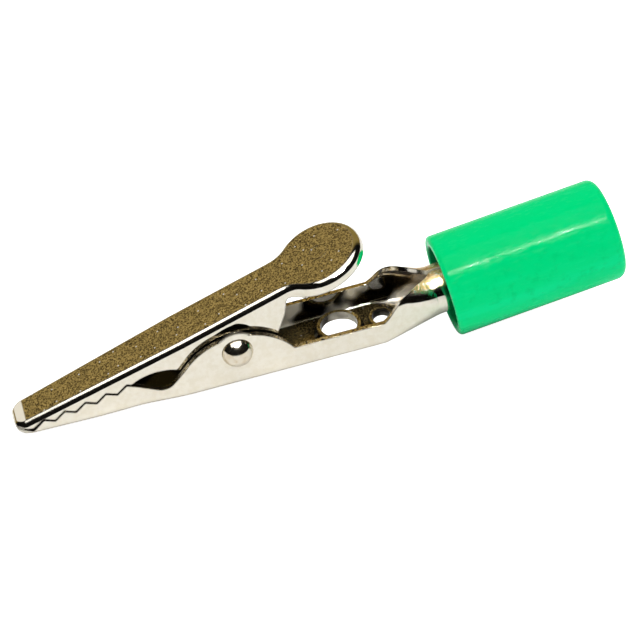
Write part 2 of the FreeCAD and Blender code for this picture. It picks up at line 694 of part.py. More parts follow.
def sleeve():
    """Moulded sleeve: wide mouth, collar on the tube, stop rim and plug entry."""
    grip = PLUG_RADIUS + SHEET + SLEEVE_GRIP_CLEARANCE
    tube_end = SOCKET_LENGTH - SLEEVE_SET_BACK
    length = SLEEVE_LENGTH
    entry = length - SLEEVE_ENTRY_DEPTH
    corners = [
        (V(0, SLEEVE_MOUTH_RADIUS, 0), 0),
        (V(0, SLEEVE_RADIUS - SLEEVE_FRONT_CHAMFER, 0), 0),
        (V(SLEEVE_FRONT_CHAMFER, SLEEVE_RADIUS, 0), 0),
        (V(length, SLEEVE_RADIUS, 0), SLEEVE_REAR_ROUND),
        (V(length, SLEEVE_ENTRY_RADIUS, 0), 0),
        (V(entry, SLEEVE_PLUG_HOLE_RADIUS, 0), 0),
        (V(tube_end, SLEEVE_PLUG_HOLE_RADIUS, 0), 0),
        (V(tube_end, grip, 0), 0),
        (V(SLEEVE_MOUTH_DEPTH, grip, 0), 0),
        (V(SLEEVE_MOUTH_DEPTH, SLEEVE_MOUTH_RADIUS, 0), 0),
        (V(0, SLEEVE_MOUTH_RADIUS, 0), 0),
    ]
    outline = Part.Wire(Part.__sortEdges__(rounded_edges(corners)))
    body = Part.Face(outline).revolve(V(0, 0, 0), V(1, 0, 0), 360)
    body.rotate(V(0, 0, 0), V(0, 1, 0), -SOCKET_TILT)
    body.translate(socket_point(SLEEVE_SET_BACK))
    return body


def set_down_angle():
    """Turn about Y that puts the jaw tip and the sleeve's front rim on one level."""
    tip = V(LOWER_TIP_X + NOSE_LENGTH, 0, -FRONT_FLOOR_DROP)
    rim = socket_point(SLEEVE_SET_BACK + SLEEVE_FRONT_CHAMFER, -SLEEVE_RADIUS)
    line = rim - tip
    return math.degrees(math.atan2(line.z, line.x))


def set_down_place(shapes):
    """Placement that sets the clip on Z = 0 with its box centred on the origin."""
    turn = FreeCAD.Rotation(V(0, 1, 0), set_down_angle())
    box = FreeCAD.BoundBox()
    for shape in shapes:
        turned = shape.copy()
        turned.Placement = FreeCAD.Placement(V(0, 0, 0), turn).multiply(turned.Placement)
        box.add(turned.optimalBoundingBox(False))
    return FreeCAD.Placement(V(-box.Center.x, -box.Center.y, -box.ZMin), turn)


def main():
    nodes = {
        "lower_jaw": lower_jaw(),
        "upper_jaw": upper_jaw(),
        "rivet": rivet(),
        "spring": spring(),
        "insulating_sleeve": sleeve(),
    }
    place = set_down_place(nodes.values())
    os.makedirs("parts", exist_ok=True)
    for name, shape in nodes.items():
        shape.Placement = place.multiply(shape.Placement)
        box = shape.optimalBoundingBox(False)
        print(name, shape.isValid(), len(shape.Solids), round(shape.Volume, 3), box)
        shape.exportStep("parts/" + name + ".step")
    print("set down", place.Base, set_down_angle())
    places = {
        "pivot": V(0, 0, PIVOT_HEIGHT),
        "socket mouth": socket_point(SOCKET_LENGTH),
        "socket middle": socket_point(SOCKET_LENGTH / 2.0),
        "screw hole": V(SCREW_HOLE_X, 0, (SCREW_HOLE_CHAMFER + SCREW_COLLAR_HEIGHT) / 2.0),
        "jaw tip": V(LOWER_TIP_X, 0, NOSE_LIP_Z),
    }
    for name, point in places.items():
        print(name, place.multVec(point))


main()
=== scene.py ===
import json
import math
import bpy
from mathutils import Euler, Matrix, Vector

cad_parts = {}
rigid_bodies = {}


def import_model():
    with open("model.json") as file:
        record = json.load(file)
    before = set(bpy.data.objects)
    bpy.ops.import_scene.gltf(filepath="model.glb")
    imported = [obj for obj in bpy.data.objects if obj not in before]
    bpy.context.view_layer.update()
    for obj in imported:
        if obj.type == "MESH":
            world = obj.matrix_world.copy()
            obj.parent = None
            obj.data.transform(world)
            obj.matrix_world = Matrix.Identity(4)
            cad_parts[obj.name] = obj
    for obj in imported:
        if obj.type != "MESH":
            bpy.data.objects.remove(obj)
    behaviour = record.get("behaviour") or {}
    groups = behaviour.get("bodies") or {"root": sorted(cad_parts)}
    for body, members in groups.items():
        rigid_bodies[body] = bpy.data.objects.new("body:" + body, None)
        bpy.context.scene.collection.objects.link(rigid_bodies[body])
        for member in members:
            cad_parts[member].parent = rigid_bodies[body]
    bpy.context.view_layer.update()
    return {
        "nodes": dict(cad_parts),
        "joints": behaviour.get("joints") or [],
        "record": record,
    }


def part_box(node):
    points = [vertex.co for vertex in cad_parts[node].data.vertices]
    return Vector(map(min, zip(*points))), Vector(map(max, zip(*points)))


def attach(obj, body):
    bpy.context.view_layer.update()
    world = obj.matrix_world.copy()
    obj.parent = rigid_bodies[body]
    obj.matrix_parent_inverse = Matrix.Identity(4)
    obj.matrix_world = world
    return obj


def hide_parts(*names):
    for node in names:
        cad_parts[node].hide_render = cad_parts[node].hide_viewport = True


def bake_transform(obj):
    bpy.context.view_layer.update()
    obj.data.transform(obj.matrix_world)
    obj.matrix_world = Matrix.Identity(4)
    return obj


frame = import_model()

MM = 0.001
nodes = frame["nodes"]
mounts = {mount["name"]: mount for mount in frame["record"]["mounts"]}
pivot = Vector(frame["joints"][0]["pos_m"])
LOWER = frame["joints"][0]["parent"]


def flat_face(node, up):
    """Slope of a node's largest level face, and its height across the sheet in mm."""
    totals = {}
    for face in nodes[node].data.polygons:
        if up * face.normal.z > 0.8 and abs(face.normal.y) < 0.02:
            slope = math.atan(-face.normal.x / face.normal.z)
            height = Vector((-math.sin(slope), 0.0, math.cos(slope))).dot(face.center)
            key = (round(slope, 2), round(height / MM, 1))
            area, tilt, lift = totals.get(key, (0.0, 0.0, 0.0))
            totals[key] = (area + face.area, tilt + face.area * slope, lift + face.area * height)
    area, tilt, lift = max(totals.values())
    return tilt / area, lift / area / MM


FLOOR_SLOPE, FLOOR_UNDERSIDE = flat_face("lower_jaw", -1.0)
PLATE_SLOPE, PLATE_TOP = flat_face("upper_jaw", 1.0)


# Small helpers for node trees

def tree(name):
    """A new material with only its Principled shader and output."""
    material = bpy.data.materials.new(name)
    material.use_nodes = True
    nt = material.node_tree
    shader = nt.nodes["Principled BSDF"]
    return material, nt, shader


def feed(nt, socket, item):
    """Links a node's output to a socket, or sets the socket to a number or colour."""
    if isinstance(item, bpy.types.NodeSocket):
        nt.links.new(item, socket)
    elif isinstance(item, tuple):
        socket.default_value = (*item, 1.0)
    else:
        socket.default_value = item


def value(nt, kind, *items):
    """A Math node's result, from up to three numbers or sockets."""
    node = nt.nodes.new("ShaderNodeMath")
    node.operation = kind
    for socket, item in zip(node.inputs, items):
        feed(nt, socket, item)
    return node.outputs[0]


def times(nt, a, b):
    return value(nt, "MULTIPLY", a, b)


def most(nt, a, b):
    return value(nt, "MAXIMUM", a, b)


def inverse(nt, mask):
    return value(nt, "SUBTRACT", 1.0, mask)


def ramp(nt, source, low, high):
    """0 at low, 1 at high, smooth between."""
    node = nt.nodes.new("ShaderNodeMapRange")
    node.interpolation_type = "SMOOTHSTEP"
    node.inputs["From Min"].default_value = low
    node.inputs["From Max"].default_value = high
    nt.links.new(source, node.inputs["Value"])
    return node.outputs["Result"]


def mix_colour(nt, factor, a, b):
    node = nt.nodes.new("ShaderNodeMix")
    node.data_type = "RGBA"
    feed(nt, node.inputs["A"], a)
    feed(nt, node.inputs["B"], b)
    feed(nt, node.inputs["Factor"], factor)
    return node.outputs["Result"]


def place(nt, scale=(1.0, 1.0, 1.0), turn=0.0):
    """Object coordinates in millimetres, turned about Y and then stretched."""
    source = nt.nodes.new("ShaderNodeTexCoord")
    mapping = nt.nodes.new("ShaderNodeMapping")
    mapping.inputs["Scale"].default_value = (1.0 / MM, 1.0 / MM, 1.0 / MM)
    mapping.inputs["Rotation"].default_value = (0.0, turn, 0.0)
    nt.links.new(source.outputs["Object"], mapping.inputs["Vector"])
    stretch = nt.nodes.new("ShaderNodeVectorMath")
    stretch.operation = "MULTIPLY"
    nt.links.new(mapping.outputs["Vector"], stretch.inputs[0])
    stretch.inputs[1].default_value = scale
    return stretch.outputs["Vector"]


def split(nt, vector):
    node = nt.nodes.new("ShaderNodeSeparateXYZ")
    nt.links.new(vector, node.inputs[0])
    return node.outputs


def own_normal(nt):
    """The surface's direction in the piece's own axes, the same at every pose."""
    return nt.nodes.new("ShaderNodeTexCoord").outputs["Normal"]


def noise(nt, where, scale, detail=3.0, roughness=0.55):
    """Noise with so many waves to the unit of its coordinates."""
    node = nt.nodes.new("ShaderNodeTexNoise")
    node.inputs["Scale"].default_value = scale
    node.inputs["Detail"].default_value = detail
    node.inputs["Roughness"].default_value = roughness
    nt.links.new(where, node.inputs["Vector"])
    return node.outputs["Fac"]


def dots(nt, where, pitch, radius, randomness):
    """1 on small round dots scattered over the first two coordinates."""
    node = nt.nodes.new("ShaderNodeTexVoronoi")
    node.voronoi_dimensions = "2D"
    node.inputs["Scale"].default_value = 1.0 / pitch
    node.inputs["Randomness"].default_value = randomness
    nt.links.new(where, node.inputs["Vector"])
    return ramp(nt, node.outputs["Distance"], radius / pitch, 0.5 * radius / pitch)


def enclosed(nt, distance, open_at, closed_at):
    """1 where other surfaces close in within the distance, 0 in the open."""
    node = nt.nodes.new("ShaderNodeAmbientOcclusion")
    node.samples = 8
    node.inputs["Distance"].default_value = distance
    return ramp(nt, node.outputs["AO"], open_at, closed_at)


def bump(nt, height, distance, strength, normal=None):
    """Bump on top of another normal. Its strength is a number or a mask."""
    node = nt.nodes.new("ShaderNodeBump")
    node.inputs["Distance"].default_value = distance
    nt.links.new(height, node.inputs["Height"])
    feed(nt, node.inputs["Strength"], strength)
    if normal is not None:
        nt.links.new(normal, node.inputs["Normal"])
    return node.outputs["Normal"]


def rounded_normal(nt, radius):
    node = nt.nodes.new("ShaderNodeBevel")
    node.samples = 6
    node.inputs["Radius"].default_value = radius
    return node.outputs["Normal"]


def sharp_edge_mask(nt, radius, low, high):
    """1 where the surface turns sharply within the radius."""
    geometry = nt.nodes.new("ShaderNodeNewGeometry")
    dot = nt.nodes.new("ShaderNodeVectorMath")
    dot.operation = "DOT_PRODUCT"
    nt.links.new(rounded_normal(nt, radius), dot.inputs[0])
    nt.links.new(geometry.outputs["Normal"], dot.inputs[1])
    return ramp(nt, inverse(nt, dot.outputs["Value"]), low, high)


# Plated steel of the two jaws. Lengths are in millimetres.

STEEL_PALE = (0.83, 0.79, 0.69)
STEEL_WARM = (0.78, 0.73, 0.61)
STEEL_TARNISH = (0.66, 0.57, 0.42)
# Painted shade for the hollows inside the jaws
STEEL_PAINTED_SHADE = (0.004, 0.003, 0.0015)
# Painted reflection on the nose
STEEL_NOSE_PAINTED_LIGHT = (0.66, 0.61, 0.50)
# Painted reflections on the inside of the trough's walls
STEEL_PAINTED_LIGHT = (0.92, 0.87, 0.74)
GRAIN_DARK = (0.07, 0.05, 0.018)
GRAIN_PALE = (0.66, 0.49, 0.18)
GRAIN_DOT = (1.0, 1.0, 1.0)
CUT_DARK = (0.03, 0.02, 0.006)
CUT_GOLD = (1.0, 0.84, 0.56)
GLITTER_GOLD = (0.74, 0.52, 0.25)
GLITTER_PALE = (0.95, 0.93, 0.85)

TROUGH_END_X = 6.1             # where the trough's walls start to curl
GLITTER_START_X = TROUGH_END_X + 2.2
LOWER_EDGE = 0.62              # how far from the flat outside the cut edges start
UPPER_EDGE = -0.75
NOSE_LENGTH = 1.05
COLLAR_START_X = -3.0
COLLAR_REACH = mounts["screw_hole"]["dims"]["r_mm"] + 0.65
PATCH_START_X = -4.5
PATCH_FIRST_X = -5.2
PATCH_PITCH = 6.4
PATCH_LEAN = 0.7


def sheet_masks(nt, where, sheet, slope, level, cut_above, tip):
    """Where a jaw's sheet is cut, grained, inside, at its nose or on the tube."""
    x, y, z = split(nt, where)
    height = split(nt, sheet)[2]
    nx, ny, nz = split(nt, own_normal(nt))
    side = value(nt, "ABSOLUTE", ny)
    inward = math.copysign(1.0, cut_above)

    # Cut edges face along the jaw, far from the flat outside
    away = times(nt, value(nt, "SUBTRACT", height, level), inward)
    far_enough = ramp(nt, away, abs(cut_above), abs(cut_above) + 0.08)
    before_wings = ramp(nt, x, TROUGH_END_X + 1.5, TROUGH_END_X + 0.5)
    cut = times(nt, times(nt, far_enough, before_wings), ramp(nt, side, 0.40, 0.15))
    near_middle = ramp(nt, value(nt, "ABSOLUTE", y), COLLAR_REACH, COLLAR_REACH - 0.1)
    at_collar = times(nt, near_middle, ramp(nt, x, COLLAR_START_X, COLLAR_START_X + 1.0))
    cut = times(nt, cut, inverse(nt, at_collar))

    # The sheet's inner side faces the middle plane, or away from the flat outside
    facing_in = ramp(nt, times(nt, ny, value(nt, "SIGN", y)), 0.0, -0.35)
    facing_back = ramp(nt, times(nt, nz, inward), 0.10, 0.45)

    # Only the flat outside is grained, so that its rounded rim stays smooth
    across = times(nt, nz, math.cos(slope))
    level_up = value(nt, "ADD", times(nt, nx, -math.sin(slope)), across)
    flat = times(nt, ramp(nt, level_up, 0.955, 0.985), inverse(nt, cut))
    # Painted reflection: the flat outside at the nose is painted a pale, dull tone
    nose = times(nt, flat, ramp(nt, x, tip + NOSE_LENGTH + 0.2, tip + NOSE_LENGTH))

    # Painted reflections: dull pale areas lean along the inside of the trough's walls
    leaning = value(nt, "SUBTRACT", x, times(nt, z, PATCH_LEAN))
    from_first = value(nt, "SUBTRACT", leaning, PATCH_FIRST_X)
    wave = value(nt, "COSINE", times(nt, from_first, 2.0 * math.pi / PATCH_PITCH))
    uneven = times(nt, noise(nt, where, 0.5, 1.0), 3.0)
    painted_light_patches = times(nt, ramp(nt, value(nt, "ADD", wave, uneven), 1.2, 2.5), facing_in)
    painted_light_patches = times(nt, painted_light_patches, ramp(nt, x, PATCH_START_X, PATCH_START_X + 1.0))

    # The top of the tube glitters before the sleeve
    near_sleeve = ramp(nt, x, GLITTER_START_X, GLITTER_START_X + 1.2)
    behind_walls = ramp(nt, x, TROUGH_END_X, TROUGH_END_X + 0.8)
    return {
        "side": side,
        "cut": cut,
        "inner": most(nt, facing_in, facing_back),
        "nose": nose,
        "grained": times(nt, flat, inverse(nt, nose)),
        "painted_light_patches": times(nt, painted_light_patches, 0.9),
        "on_tube": times(nt, near_sleeve, ramp(nt, nz, 0.58, 0.76)),
        "at_rim": most(nt, ramp(nt, side, 0.25, 0.55), behind_walls),
    }


def plating_textures(nt, where, sheet, slope):
    """The patterns that colour and roughen the plating."""
    along = place(nt, (0.10, 1.0, 1.0), slope)
    return {
        "broad": noise(nt, where, 0.35, 2.0),
        "mottled": noise(nt, where, 1.6, 4.0, 0.6),
        "speck": noise(nt, where, 4.0, 3.0, 0.7),
        "spark": noise(nt, where, 5.0, 2.0, 0.8),
        "glint": noise(nt, where, 3.4, 3.0, 0.8),
        "dents": noise(nt, where, 0.30, 0.0),
        "grain": noise(nt, sheet, 6.6, 2.0, 0.8),
        "dots": dots(nt, sheet, 2.2, 0.11, 0.75),
        "lines": noise(nt, along, 7.0, 3.0, 0.65),
    }


def plating_colour(nt, mask, texture, pale_dots):
    colour = mix_colour(nt, ramp(nt, texture["mottled"], 0.35, 0.65), STEEL_PALE, STEEL_WARM)
    tarnish = times(nt, ramp(nt, texture["speck"], 0.66, 0.80), 0.5)
    colour = mix_colour(nt, tarnish, colour, STEEL_TARNISH)
    grain = mix_colour(nt, ramp(nt, texture["grain"], 0.38, 0.64), GRAIN_DARK, GRAIN_PALE)
    colour = mix_colour(nt, mask["grained"], colour, grain)
    colour = mix_colour(nt, pale_dots, colour, GRAIN_DOT)
    cut = mix_colour(nt, ramp(nt, texture["spark"], 0.42, 0.52), CUT_DARK, CUT_GOLD)
    colour = mix_colour(nt, mask["cut"], colour, cut)
    # Sharp rims are darkened: partly worn edges, partly painted shade in the gap between the two
    # jaws' teeth
    wear_and_gap_shade = times(nt, sharp_edge_mask(nt, 0.30 * MM, 0.04, 0.14), mask["at_rim"])
    colour = mix_colour(nt, times(nt, wear_and_gap_shade, 0.9), colour, CUT_DARK)
    # Painted shade: almost black on the inside, where other surfaces close in
    inside = times(nt, enclosed(nt, 8.0 * MM, 0.78, 0.36), mask["inner"])
    colour = mix_colour(nt, times(nt, inside, 0.98), colour, STEEL_PAINTED_SHADE)
    # Painted reflections: pale areas on the inside of the trough's walls
    colour = mix_colour(nt, mask["painted_light_patches"], colour, STEEL_PAINTED_LIGHT)
    # Painted reflection: a pale nose
    colour = mix_colour(nt, mask["nose"], colour, STEEL_NOSE_PAINTED_LIGHT)
    glitter = mix_colour(nt, ramp(nt, texture["glint"], 0.53, 0.63), GLITTER_GOLD, GLITTER_PALE)
    return mix_colour(nt, mask["on_tube"], colour, glitter)


def plating_bumps(nt, mask, texture, pale_dots):
    normal = bump(nt, texture["broad"], 0.015 * MM, 0.6, rounded_normal(nt, 0.07 * MM))
    normal = bump(nt, ramp(nt, texture["lines"], 0.62, 0.78), 0.0015 * MM, 0.4, normal)
    off_walls = times(nt, ramp(nt, mask["side"], 0.97, 0.80), 0.8)
    normal = bump(nt, texture["grain"], 0.006 * MM, off_walls, normal)
    normal = bump(nt, texture["dents"], 0.35 * MM, times(nt, mask["inner"], 0.9), normal)
    normal = bump(nt, texture["glint"], 0.05 * MM, mask["on_tube"], normal)
    normal = bump(nt, texture["spark"], 0.045 * MM, mask["cut"], normal)
    return bump(nt, pale_dots, 0.02 * MM, pale_dots, normal)


def plated_steel(name, node, slope, level, cut_above):
    """Plated sheet: bright walls, grained flat faces and raw cut edges, with painted shade in
    its hollows and painted light inside the trough's walls and on the nose.

    slope and level give the sheet's flat outside. Cut edges are the surfaces that
    face along the jaw and lie further than cut_above from it, above or below.
    """
    material, nt, shader = tree(name)
    where = place(nt)
    sheet = place(nt, turn=slope)
    tip = min(corner[0] for corner in nodes[node].bound_box) / MM
    mask = sheet_masks(nt, where, sheet, slope, level, cut_above, tip)
    texture = plating_textures(nt, where, sheet, slope)
    pale_dots = times(nt, texture["dots"], mask["grained"])
    # The areas of painted light are also made dull: rougher and less metallic
    painted_light_areas = most(nt, mask["painted_light_patches"], mask["nose"])
    nt.links.new(plating_colour(nt, mask, texture, pale_dots), shader.inputs["Base Color"])

    rough = value(nt, "MULTIPLY_ADD", texture["mottled"], 0.06, 0.05)
    for part, extra in ((mask["grained"], 0.06), (mask["cut"], 0.12), (painted_light_areas, 0.25)):
        rough = value(nt, "ADD", rough, times(nt, part, extra))
    nt.links.new(rough, shader.inputs["Roughness"])
    dull = most(nt, painted_light_areas, times(nt, mask["grained"], 0.35))
    dull = most(nt, dull, times(nt, mask["on_tube"], 0.20))
    nt.links.new(inverse(nt, dull), shader.inputs["Metallic"])
    nt.links.new(plating_bumps(nt, mask, texture, pale_dots), shader.inputs["Normal"])
    return material


# Materials of the smaller pieces

RIVET_PALE = (0.76, 0.70, 0.58)
RIVET_WARM = (0.64, 0.54, 0.38)
WIRE_DARK = (0.46, 0.43, 0.38)
WIRE_PALE = (0.66, 0.62, 0.55)
GREEN_BODY = (0.001, 0.72, 0.235)
GREEN_BRIGHT = (0.003, 0.77, 0.28)
GREEN_DEEP = (0.0, 0.55, 0.16)
GREEN_NICK = (0.0, 0.33, 0.10)
# Painted shade for the sleeve's hollows
GREEN_PAINTED_SHADE = (0.0, 0.10, 0.03)
# Painted highlight for the sleeve's sharp rims
GREEN_RIM_HIGHLIGHT = (0.30, 0.90, 0.62)


def rivet_steel():
    material, nt, shader = tree("rivet_plating")
    where = place(nt)
    blotch = noise(nt, where, 1.6, 4.0, 0.6)
    fine = noise(nt, where, 9.0, 3.0, 0.6)
    colour = mix_colour(nt, ramp(nt, blotch, 0.40, 0.70), RIVET_PALE, RIVET_WARM)
    nt.links.new(colour, shader.inputs["Base Color"])
    shader.inputs["Metallic"].default_value = 1.0
    rough = value(nt, "MULTIPLY_ADD", fine, 0.12, 0.06)
    nt.links.new(rough, shader.inputs["Roughness"])
    normal = bump(nt, blotch, 0.03 * MM, 0.6)
    normal = bump(nt, fine, 0.004 * MM, 0.4, normal)
    nt.links.new(normal, shader.inputs["Normal"])
    return material


def spring_wire():
    material, nt, shader = tree("spring_wire")
    fine = noise(nt, place(nt), 7.0, 3.0, 0.6)
    nt.links.new(mix_colour(nt, fine, WIRE_DARK, WIRE_PALE), shader.inputs["Base Color"])
    shader.inputs["Metallic"].default_value = 1.0
    nt.links.new(ramp(nt, fine, -0.9, 1.9), shader.inputs["Roughness"])
    nt.links.new(bump(nt, fine, 0.01 * MM, 0.5), shader.inputs["Normal"])
    return material


def green_vinyl():
    """Moulded vinyl: clouds, bands and scuffs that run along the sleeve, with a painted
    highlight on its sharp rims and painted shade on top and in its hollows.
    """
    material, nt, shader = tree("green_vinyl")
    axis = Vector(mounts["plug_socket"]["axis"])
    tilt = math.atan2(axis.z, axis.x)
    where = place(nt)
    bands = noise(nt, place(nt, (0.12, 1.0, 1.0), tilt), 0.45, 3.0, 0.55)
    scuffs = noise(nt, place(nt, (0.35, 1.0, 1.0), tilt), 3.0, 2.0, 0.7)
    cloud = noise(nt, where, 1.1, 4.0, 0.55)
    fine = noise(nt, where, 3.0, 3.0, 0.65)
    pits = noise(nt, where, 9.0, 1.0, 0.6)
    nick = ramp(nt, scuffs, 0.73, 0.77)
    # Painted shade: surfaces facing up are given a deeper green
    top_painted_shade = ramp(nt, split(nt, own_normal(nt))[2], -0.1, 0.9)

    colour = mix_colour(nt, ramp(nt, bands, 0.36, 0.62), GREEN_BRIGHT, GREEN_BODY)
    for mask, share, tone in (
        (ramp(nt, cloud, 0.50, 0.75), 0.5, GREEN_DEEP),
        # painted highlight: pale mint on the sharp rims
        (sharp_edge_mask(nt, 0.30 * MM, 0.01, 0.12), 0.55, GREEN_RIM_HIGHLIGHT),
        (nick, 0.45, GREEN_NICK),
        # painted shade on surfaces facing up
        (top_painted_shade, 0.85, GREEN_DEEP),
        # painted shade where the sleeve's own surfaces close in
        (enclosed(nt, 5.0 * MM, 0.85, 0.35), 0.75, GREEN_PAINTED_SHADE),
    ):
        colour = mix_colour(nt, times(nt, mask, share), colour, tone)
    nt.links.new(colour, shader.inputs["Base Color"])

    rough = value(nt, "MULTIPLY_ADD", ramp(nt, scuffs, 0.40, 0.70), 0.35, 0.04)
    nt.links.new(rough, shader.inputs["Roughness"])
    shader.inputs["IOR"].default_value = 1.5
    shader.inputs["Specular IOR Level"].default_value = 0.035
    shader.inputs["Subsurface Weight"].default_value = 0.15
    shader.inputs["Subsurface Radius"].default_value = (0.1, 1.0, 0.4)
    shader.inputs["Subsurface Scale"].default_value = 0.6 * MM
    normal = bump(nt, cloud, 0.020 * MM, 0.4)
    normal = bump(nt, fine, 0.012 * MM, 0.7, normal)
    normal = bump(nt, pits, 0.005 * MM, 0.8, normal)
    normal = bump(nt, nick, 0.012 * MM, 0.6, normal)
    nt.links.new(normal, shader.inputs["Normal"])
    return material


# Pieces

def finish_mesh(name, points, faces, material):
    mesh = bpy.data.meshes.new(name)
    mesh.from_pydata([tuple(p) for p in points], [], faces)
    mesh.update()
    mesh.shade_smooth()
    mesh.set_sharp_from_angle(angle=math.radians(40.0))
    piece = bpy.data.objects.new(name, mesh)
    bpy.context.scene.collection.objects.link(piece)
    mesh.materials.append(material)
    return piece


def arc_profile(centre, radius, start, end, steps):
    """Points (along, out) on an arc, angles in degrees from the axis."""
    points = []
    for step in range(steps + 1):
        angle = math.radians(start + (end - start) * step / steps)
        along = centre[0] + radius * math.cos(angle)
        points.append((along, centre[1] + radius * math.sin(angle)))
    return points


def lathe(name, profile, origin, axis, segments, material):
    """Turns a closed profile of (along, out) points about the axis."""
    axis = axis.normalized()
    across = axis.cross(Vector((0.0, 0.0, 1.0))).normalized()
    up = across.cross(axis)
    points = []
    for step in range(segments):
        angle = 2.0 * math.pi * step / segments
        out = across * math.cos(angle) + up * math.sin(angle)
        for along, radius in profile:
            points.append(origin + axis * along + out * radius)
    count = len(profile)
    faces = []
    for step in range(segments):
        here = step * count
        there = (step + 1) % segments * count
        for i in range(count):
            j = (i + 1) % count
            faces.append((here + i, here + j, there + j, there + i))
    return finish_mesh(name, points, faces, material)


def dress_sleeve(material):
    """The moulded sleeve, with softly rounded rims, from the CAD sleeve's sizes."""
    socket = mounts["plug_socket"]
    origin = Vector(socket["pos_m"])
    axis = Vector(socket["axis"]).normalized()
    rings = []
    for vertex in nodes["insulating_sleeve"].data.vertices:
        rel = vertex.co - origin
        along = rel.dot(axis)
        rings.append((along, (rel - axis * along).length))
    near = 0.01 * MM
    front = min(along for along, radius in rings)
    rear = max(along for along, radius in rings)
    outside = max(radius for along, radius in rings)
    plug_hole = min(radius for along, radius in rings)
    mouth = min(radius for along, radius in rings if along < front + near)
    entry = min(radius for along, radius in rings if along > rear - near)
    entry_floor = max(along for along, radius in rings if radius < plug_hole + near)
    tube_end = 0.5 * socket["dims"]["length_mm"] * MM
    at_tube_end = [radius for along, radius in rings if abs(along - tube_end) < near]
    grip = max(radius for radius in at_tube_end if radius < mouth - near)
    mouth_floor = min(along for along, radius in rings if abs(radius - grip) < near)
    front_round = 0.45 * MM
    lip_round = 0.30 * MM
    rear_round = 0.90 * MM
    floor_round = 0.50 * MM
    profile = arc_profile(
        (front + front_round, outside - front_round), front_round, 180.0, 90.0, 8)
    profile += arc_profile((rear - rear_round, outside - rear_round), rear_round, 90.0, 0.0, 10)
    profile += [(rear, entry), (entry_floor, plug_hole)]
    profile += [(tube_end, plug_hole), (tube_end, grip), (mouth_floor, grip)]
    profile += arc_profile(
        (mouth_floor - floor_round, mouth - floor_round), floor_round, 0.0, 90.0, 5)
    profile += arc_profile((front + lip_round, mouth + lip_round), lip_round, -90.0, -180.0, 5)
    piece = lathe("sleeve_shell", profile, origin, axis, 160, material)
    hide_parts("insulating_sleeve")
    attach(piece, LOWER)


def dress_rivet(material):
    """Rivet with two domed heads, each with a soft edge at its seat."""
    low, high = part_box("rivet")
    half = (high.y - low.y) / 2.0
    head_radius = (high.z - low.z) / 2.0
    head_height = 1.20 * MM
    edge = 0.10 * MM
    shank = 1.00 * MM
    ball = (head_radius ** 2 + head_height ** 2) / (2.0 * head_height)
    rim = math.degrees(math.asin((head_radius - edge * 0.4) / ball))
    dome = arc_profile((half - ball, 0.0), ball, 0.0, rim, 22)
    seat = half - head_height
    head = [(max(along, seat + edge), out) for along, out in dome]
    head += arc_profile((seat + edge, head_radius - edge), edge, 0.0, -90.0, 4)[1:]
    head = [(along, max(out, 1e-6)) for along, out in head]
    head.append((seat, shank))
    profile = head + [(-along, out) for along, out in reversed(head)]
    across = Vector((0.0, 1.0, 0.0))
    piece = lathe("rivet_pin", profile, pivot.copy(), across, 96, material)
    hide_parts("rivet")
    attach(piece, LOWER)


def tube_along(name, path, radius, material, sides=14):
    """Round wire along a list of points, with flat ends."""
    points = []
    faces = []
    across = Vector((0.0, 1.0, 0.0))
    for i, here in enumerate(path):
        ahead = path[min(i + 1, len(path) - 1)]
        behind = path[max(i - 1, 0)]
        tangent = (ahead - behind).normalized()
        side = (across - tangent * across.dot(tangent)).normalized()
        other = tangent.cross(side)
        for k in range(sides):
            angle = 2.0 * math.pi * k / sides
            points.append(here + (side * math.cos(angle) + other * math.sin(angle)) * radius)
    for i in range(len(path) - 1):
        for k in range(sides):
            a = i * sides + k
            b = i * sides + (k + 1) % sides
            faces.append((a, b, b + sides, a + sides))
    faces.append(tuple(reversed(range(sides))))
    faces.append(tuple((len(path) - 1) * sides + k for k in range(sides)))
    return finish_mesh(name, points, faces, material)


def dress_spring(material):
    """Torsion spring round the rivet; its legs are found from the CAD spring's box."""
    wire = 0.36 * MM
    coil = 1.62 * MM
    pitch = 0.80 * MM
    coil_steps = 150
    leg_steps = 10
    low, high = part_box("spring")
    lower_end = Vector((high.x - wire * 0.3, low.y + wire, low.z + wire))
    upper_end = Vector((high.x - wire * 0.7, high.y - wire, high.z - wire))

    def leg(end, side):
        rel = end - pivot
        distance = math.hypot(rel.x, rel.z)
        return math.atan2(rel.z, rel.x) - side * math.asin(coil / distance)

    start = leg(lower_end, -1.0) - math.pi / 2.0
    stop = leg(upper_end, 1.0) + math.pi / 2.0 - 8.0 * math.pi
    width = pitch * (start - stop) / (2.0 * math.pi)
    path = []
    for step in range(coil_steps + 1):
        t = step / coil_steps
        angle = start + (stop - start) * t
        out = Vector((coil * math.cos(angle), width * (t - 0.5), coil * math.sin(angle)))
        path.append(pivot + out)
    lower_end.y = path[0].y
    upper_end.y = path[-1].y
    before = [lower_end.lerp(path[0], i / leg_steps) for i in range(leg_steps)]
    after = [path[-1].lerp(upper_end, i / leg_steps) for i in range(1, leg_steps + 1)]
    path = before + path + after
    piece = tube_along("spring_coil", path, wire, material)
    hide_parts("spring")
    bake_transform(piece)


def dress_jaws():
    """Plates the CAD jaws, whose meshes stay as they are."""
    jaws = {
        "lower_jaw": (FLOOR_SLOPE, FLOOR_UNDERSIDE, LOWER_EDGE),
        "upper_jaw": (PLATE_SLOPE, PLATE_TOP, UPPER_EDGE),
    }
    for name, (slope, level, cut_above) in jaws.items():
        mesh = nodes[name].data
        mesh.materials.clear()
        mesh.materials.append(plated_steel(name + "_plating", name, slope, level, cut_above))


# Stage

TABLE = (0.80, 0.80, 0.80)
TABLE_HALF = 3.0
TABLE_CAMERA_GLOW = 0.95
TABLE_MIRROR_GLOW = 0.01
ROOM_WHITE = (1.0, 1.0, 1.0)
ROOM_SOFT = (0.80, 0.80, 0.80)
ROOM_DARK = (0.0015, 0.0012, 0.0010)
ROOM_WARM = (0.27, 0.20, 0.06)


